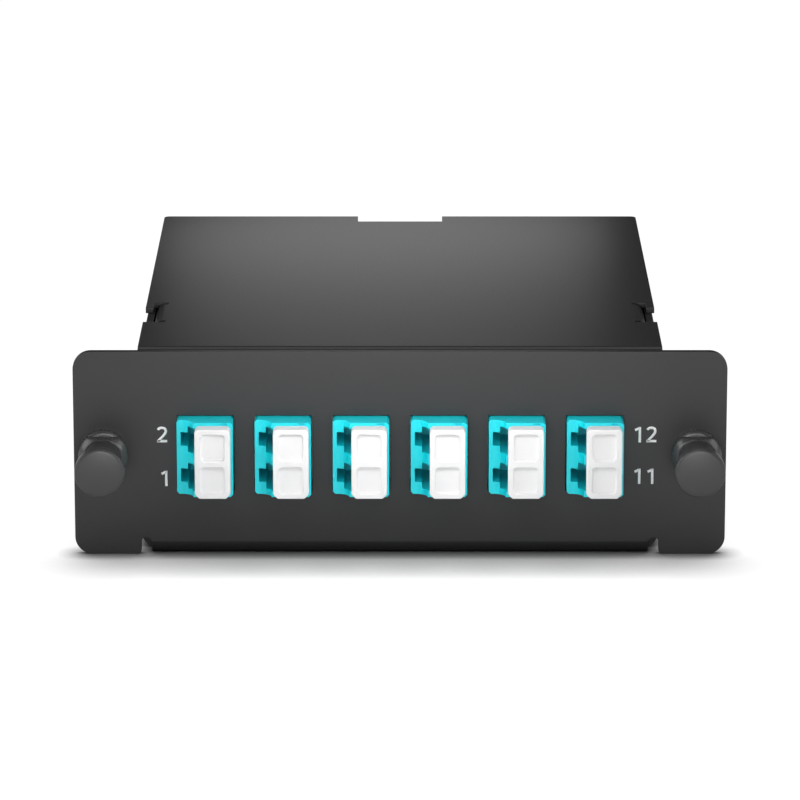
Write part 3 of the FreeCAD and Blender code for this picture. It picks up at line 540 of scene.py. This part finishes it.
def cap_plate(name, low, high):
    """The cap's face between two corners in mm, with its corners cut and its dishes sunk."""
    front = low[1]
    middle = (low[0] + high[0]) / 2
    plate = block(name, low, (high[0], front + CAP_THICKNESS, high[2]))
    pick(plate, "EDGE", lambda e: along_y(e) and e.verts[0].co.z > 0)
    bpy.ops.mesh.bevel(offset=CAP_CORNER * MM, segments=6)
    pick(plate, "EDGE", lambda e: along_y(e) and e.verts[0].co.z < low[2] / 2 * MM)
    bpy.ops.mesh.bevel(offset=CAP_CORNER * MM, segments=1)
    bpy.ops.object.mode_set(mode="OBJECT")
    for z in (DISH_PITCH / 2, -DISH_PITCH / 2):
        tool = block("dish", (middle - DISH_WIDTH / 2, front - OUTSIDE, z - DISH_HEIGHT / 2),
                     (middle + DISH_WIDTH / 2, front + DISH_DEPTH, z + DISH_HEIGHT / 2))
        pick(tool, "EDGE", along_y)
        bpy.ops.mesh.bevel(offset=DISH_CORNER * MM, segments=6)
        pick(tool, "EDGE", lambda e: all(v.co.y > front * MM for v in e.verts) and not along_y(e))
        bpy.ops.mesh.bevel(offset=DISH_EDGE * MM, segments=3)
        bpy.ops.object.mode_set(mode="OBJECT")
        cut(plate, tool)
    return soften(plate, CAP_EDGE, 3)


# %% [markdown]
# ## The cap's plugs
#
# A plug only has to fill the port's mouth, so the mould leaves it hollow from behind. Its open
# end is a face that is inset by the wall and pushed in, which is how a hollow is made from a
# block without a second shape.

# %% The cap's plugs
PLUG = 4.3
PLUG_WALL = 0.5
PLUG_HOLLOW = 6.5
PLUG_EDGE = 0.12
PLUG_ROOT = 0.5
PORT_PITCH = 6.25


def cap_plug(middle, front, rear, z):
    """A hollow square plug from front to rear, in mm."""
    plug = block("plug", (middle - PLUG / 2, front, z - PLUG / 2), (middle + PLUG / 2, rear, z + PLUG / 2))
    pick(plug, "FACE", lambda f: f.normal.y > NEARLY)
    bpy.ops.mesh.inset(thickness=PLUG_WALL * MM)
    bpy.ops.mesh.extrude_region_move(TRANSFORM_OT_translate={"value": (0, -PLUG_HOLLOW * MM, 0)})
    bpy.ops.object.mode_set(mode="OBJECT")
    return soften(plug, PLUG_EDGE)


# %% [markdown]
# ## Six caps
#
# The plate and its plugs are joined to one piece, as they leave one mould. The first cap is
# made at the first adapter, and five copies are moved to the others.

# %% Six caps
low, high = box_mm("dust_cap_1")
middle = (low[0] + high[0]) / 2
root = low[1] + CAP_THICKNESS - PLUG_ROOT
plugs = [cap_plug(middle, root, high[1], z) for z in (PORT_PITCH / 2, -PORT_PITCH / 2)]
first = join([cap_plate("cap_moulding_1", low, high)] + plugs)
place_piece(first, "cap_1", "white_cap_plastic", "dust_cap_1")
for number in range(2, 7):
    cap = copied(first, f"cap_moulding_{number}", "dust_cap_1", f"dust_cap_{number}")
    place_piece(cap, f"cap_{number}", "white_cap_plastic", f"dust_cap_{number}")

# %% [markdown]
# ## Turned shapes
#
# Each latch is a nylon plunger in a nylon grommet, and both are round about one axis. So each
# is made as a disc that is extruded along the axis and resized ring by ring, like thrown
# pottery. A list of rings is easy to read and to change.

# %% Turned shapes
def turned(name, x, rings, sides=96):
    """A solid of revolution along Y. Each ring is (y, radius) in mm, from front to back."""
    bpy.ops.object.select_all(action="DESELECT")
    y, radius = rings[0]
    bpy.ops.mesh.primitive_circle_add(vertices=sides, radius=radius * MM, fill_type="NGON",
                                      location=(x * MM, y * MM, 0), rotation=(math.pi / 2, 0, 0))
    piece = bpy.context.object
    piece.name = name
    bpy.ops.object.transform_apply(location=True, rotation=True, scale=True)
    bpy.ops.object.mode_set(mode="EDIT")
    bpy.ops.mesh.select_all(action="SELECT")
    for next_y, next_radius in rings[1:]:
        bpy.ops.mesh.extrude_region_move(TRANSFORM_OT_translate={"value": (0, (next_y - y) * MM, 0)})
        scale = next_radius / radius
        bpy.ops.transform.resize(value=(scale, 1, scale), center_override=(x * MM, next_y * MM, 0))
        y, radius = next_y, next_radius
    bpy.ops.mesh.select_all(action="SELECT")
    bpy.ops.mesh.normals_make_consistent(inside=False)
    bpy.ops.object.mode_set(mode="OBJECT")
    alone(piece)
    bpy.ops.object.shade_smooth_by_angle(angle=math.radians(40))
    return piece


# %% [markdown]
# ## Plungers
#
# The pull head is a button with a slightly crowned front, so that its upper half catches the
# low lamp. Behind it come a bead, a waisted neck for two fingers, and the thin pin that spreads
# the grommet's legs. The left one is turned, and the right one is its copy.

# %% Plungers
PIN_RADIUS = 1.25

low, high = box_mm("latch_plunger_left")
front = low[1]
r = (high[0] - low[0]) / 2
crown = [(front, 0.3), (front + 0.017, 1.0), (front + 0.063, 1.9), (front + 0.136, 2.8),
         (front + 0.20, 3.4)]
rim = [(front + 0.25, r - 0.33), (front + 0.31, r - 0.17), (front + 0.39, r - 0.06), (front + 0.52, r),
       (front + 1.75, r), (front + 1.95, r - 0.06), (front + 2.08, r - 0.22), (front + 2.12, r - 0.45)]
bead = [(front + 2.20, 3.40), (front + 2.45, 3.52), (front + 2.75, 3.62), (front + 3.00, 3.50),
        (front + 3.20, 3.15)]
neck = [(front + 3.70, 2.95), (front + 5.50, 2.85), (front + 8.00, 2.95), (front + 9.55, 3.05)]
pin = [(front + 9.56, PIN_RADIUS), (high[1] - 0.5, PIN_RADIUS), (high[1], 0.9)]
left = turned("plunger_left", (low[0] + high[0]) / 2, crown + rim + bead + neck + pin)
place_piece(left, "left_plunger", "black_nylon_plunger", "latch_plunger_left")
right = copied(left, "plunger_right", "latch_plunger_left", "latch_plunger_right")
place_piece(right, "right_plunger", "black_nylon_plunger", "latch_plunger_right")

# %% [markdown]
# ## Grommets
#
# The grommet has a thin flange against the ear, a round body in front of it and legs behind.
# The body's front edge is a cone, and its top and bottom are cut flat, which leaves two shoulders beside
# the neck. They are bright from the side lamps and from the grommet's painted-lighter grey. It is bored for
# the pin, and its tip is slit so that it can spread.

# %% Grommets
FLANGE_FRONT = -2.4
BODY_FRONT = -4.5
FLAT_HALF = 3.2
BORE = PIN_RADIUS + 0.06
SLIT_HALF = 0.4
SLIT_FRONT = 0.3
SHANK_RADIUS = 2.4
BODY_EDGE = 0.06
FAR = 6

low, high = box_mm("latch_grommet_left")
x = (low[0] + high[0]) / 2
r = (high[0] - low[0]) / 2
edge = [(FLANGE_FRONT, 3.0), (FLANGE_FRONT + 0.02, r - 0.45), (FLANGE_FRONT + 0.10, r - 0.22),
        (FLANGE_FRONT + 0.25, r - 0.07), (FLANGE_FRONT + 0.45, r), (PANEL_FRONT, r)]
legs = [(PANEL_FRONT, SHANK_RADIUS), (high[1] - 0.4, SHANK_RADIUS), (high[1], SHANK_RADIUS - 0.4)]
flange = turned("grommet_left", x, edge + legs)
body = turned("body", x, [(BODY_FRONT, 3.15), (BODY_FRONT + 0.06, 3.3), (BODY_FRONT + 0.85, r - 0.10),
                          (BODY_FRONT + 1.0, r), (FLANGE_FRONT + 0.3, r)])
for bottom, top in ((FLAT_HALF, FAR), (-FAR, -FLAT_HALF)):
    cut(body, block("flat", (x - FAR, BODY_FRONT - OUTSIDE, bottom),
                    (x + FAR, FLANGE_FRONT + OUTSIDE, top)))
for piece in (flange, body):
    cut(piece, turned("bore", x, [(BODY_FRONT - OUTSIDE, BORE), (high[1] + OUTSIDE, BORE)], 64))
cut(flange, block("slit", (x - SLIT_HALF, SLIT_FRONT, -r), (x + SLIT_HALF, high[1] + OUTSIDE, r)))
left = join([flange, soften(body, BODY_EDGE, smooth=25)])
place_piece(left, "cassette", "black_nylon_grommet", "latch_grommet_left")
right = copied(left, "grommet_right", "latch_grommet_left", "latch_grommet_right")
place_piece(right, "cassette", "black_nylon_grommet", "latch_grommet_right")

# %% [markdown]
# ## Edges that light can find
#
# No real edge is perfectly sharp: paint rounds it, and so does a mould. The adapters, the tray
# and the cover are right in form, so a copy of each is merged, its flat faces are dissolved
# into whole ones, and its edges get a small bevel that catches a thin line of light.

# %% Softened copies
MERGE_REACH = 0.001
ADAPTER_EDGE = 0.12


def merged_copy(node, name):
    """A copy of a CAD node, merged, with its flat faces made whole."""
    piece = bpy.data.objects.new(name, nodes[node].data.copy())
    bpy.context.scene.collection.objects.link(piece)
    alone(piece)
    bpy.ops.object.mode_set(mode="EDIT")
    bpy.ops.mesh.select_all(action="SELECT")
    bpy.ops.mesh.remove_doubles(threshold=MERGE_REACH * MM)
    bpy.ops.mesh.dissolve_limited(angle_limit=math.radians(1))
    bpy.ops.object.mode_set(mode="OBJECT")
    return piece


first = soften(merged_copy("lc_adapter_1", "adapter_moulding_1"), ADAPTER_EDGE)
place_piece(first, "cassette", "aqua_adapter_plastic", "lc_adapter_1")
for number in range(2, 7):
    adapter = copied(first, f"adapter_moulding_{number}", "lc_adapter_1", f"lc_adapter_{number}")
    place_piece(adapter, "cassette", "aqua_adapter_plastic", f"lc_adapter_{number}")

# %% [markdown]
# ## Tray, cover and the rear adapter
#
# A coated sheet's edge is rounded by its punching and by the coat together, and a mould's edge
# is rounder on the soft cap than on the hard adapter. So each copy gets its own bevel width.

# %% Tray, cover and the rear adapter
# CAD node, new name, body, slot, bevel width in mm and its segments.
EDGES = (
    ("front_tray", "coated_tray", "cassette", "powder_coated_steel", 0.20, 2),
    ("top_cover", "coated_cover", "cassette", "powder_coated_steel", 0.12, 2),
    ("mpo_adapter", "rear_adapter_moulding", "cassette", "aqua_adapter_plastic", 0.15, 2),
    ("mpo_dust_cap", "rear_cap_moulding", "rear_cap", "black_cap_plastic", 0.30, 3),
)
for node, name, body, slot, width, segments in EDGES:
    place_piece(soften(merged_copy(node, name), width, segments), body, slot, node)

# %% [markdown]
# ## Screws
#
# Two flat-head screws hold the cover and two small ones hold the rear adapter. The heads are
# cold formed, and a punch leaves the cross for the driver. Each cross is two narrow blocks
# taken out of the head, as deep as the punch goes.

# %% Screws with a cross recess
CROSS_WIDTH = 0.55
CROSS_DEPTH = 0.60
CROSS_SHARE = 0.62
HEAD_EDGE = 0.05


def cross(piece, middle, arm, axis):
    """Cuts a cross into a head that faces along the axis, at its outer face."""
    for long_axis in {0, 1, 2} - {axis}:
        reach = [CROSS_WIDTH / 2] * 3
        reach[long_axis] = arm
        reach[axis] = CROSS_DEPTH
        near, far = [m - r for m, r in zip(middle, reach)], [m + r for m, r in zip(middle, reach)]
        cut(piece, block("cross", near, far))


screws = merged_copy("cover_screws", "cover_screw_pair")
low, high = box_mm("cover_screws")
for side in (low[0], high[0]):
    middle = (side, (low[1] + high[1]) / 2, (low[2] + high[2]) / 2)
    cross(screws, middle, CROSS_SHARE * (high[1] - low[1]) / 2, 0)
place_piece(soften(screws, HEAD_EDGE), "cassette", "black_zinc_screws", "cover_screws")

screws = merged_copy("mpo_adapter_screws", "rear_screw_pair")
low, high = box_mm("mpo_adapter_screws")
head = (high[2] - low[2]) / 2
for x in (low[0] + head, high[0] - head):
    cross(screws, (x, high[1], (low[2] + high[2]) / 2), CROSS_SHARE * head, 1)
place_piece(soften(screws, HEAD_EDGE), "cassette", "black_zinc_screws", "mpo_adapter_screws")

# %% [markdown]
# ## Port numbers
#
# The first and last adapter carry plain port numbers, printed in white ink beside them. A
# screen printer's digits have strokes of one width. So each digit is a flat curve drawn with a
# flat nib, turned into a thin mesh and laid on the coated panel.

# %% The printer's digits
STROKE = 0.42
INK = 0.02
STROKES = {
    "1": [[(0.84, 0), (0.84, 2.66)],
          [(0.86, 2.46), (0.60, 2.42), (0.38, 2.24), (0.05, 2.12)]],
    "2": [[(0.17, 2.18), (0.40, 2.46), (0.90, 2.54), (1.47, 2.37),
           (1.53, 1.75), (1.09, 1.18), (0.66, 0.68), (0.21, 0.20)],
          [(0.03, 0.21), (1.71, 0.21)]],
}


def flat_curve(name, lines, closed=False):
    """A flat curve through these points in mm."""
    curve = bpy.data.curves.new(name, "CURVE")
    curve.dimensions = "2D"
    curve.fill_mode = "NONE"
    for line in lines:
        spline = curve.splines.new("POLY" if closed or len(line) < 3 else "NURBS")
        spline.points.add(len(line) - 1)
        for point, (x, y) in zip(spline.points, line):
            point.co = (x * MM, y * MM, 0, 1)
        spline.use_cyclic_u = closed
        spline.order_u = 3
        spline.use_endpoint_u = True
    piece = bpy.data.objects.new(name, curve)
    bpy.context.scene.collection.objects.link(piece)
    return piece


# %% [markdown]
# ## Printing them
#
# Each digit becomes a mesh while it still lies flat, and only then is stood up and moved to the
# panel, so that its place ends up in the mesh. The nib is thrown away after the last digit.

# %% Four numbers
half = STROKE / 2
nib = flat_curve("nib", [[
    (-half, -INK / 2), (half, -INK / 2), (half, INK / 2), (-half, INK / 2)]], closed=True)


def printed(word, lefts, bottom):
    """Digits of a number, each with its left edge in mm, standing on one line."""
    digits = []
    for digit, left in zip(word, lefts):
        piece = flat_curve(f"port_number_{word}", STROKES[digit])
        piece.data.bevel_mode = "OBJECT"
        piece.data.bevel_object = nib
        piece.data.use_fill_caps = True
        alone(piece)
        bpy.ops.object.convert(target="MESH")
        piece.rotation_euler = (math.pi / 2, 0, 0)
        piece.location = (left * MM, (PANEL_FRONT - INK / 2) * MM, bottom * MM)
        bpy.ops.object.transform_apply(location=True, rotation=True, scale=True)
        digits.append(piece)
    place_piece(join(digits), "cassette", "white_cap_plastic", paint="white_ink")


# The number, the left edge of each of its digits and its baseline, in mm.
PRINT = (
    ("2", [-40.6], 1.89),
    ("1", [-39.94], -5.69),
    ("12", [39.19, 41.10], 1.89),
    ("11", [39.19, 41.36], -5.31),
)
for word, lefts, bottom in PRINT:
    printed(word, lefts, bottom)
bpy.data.objects.remove(nib)
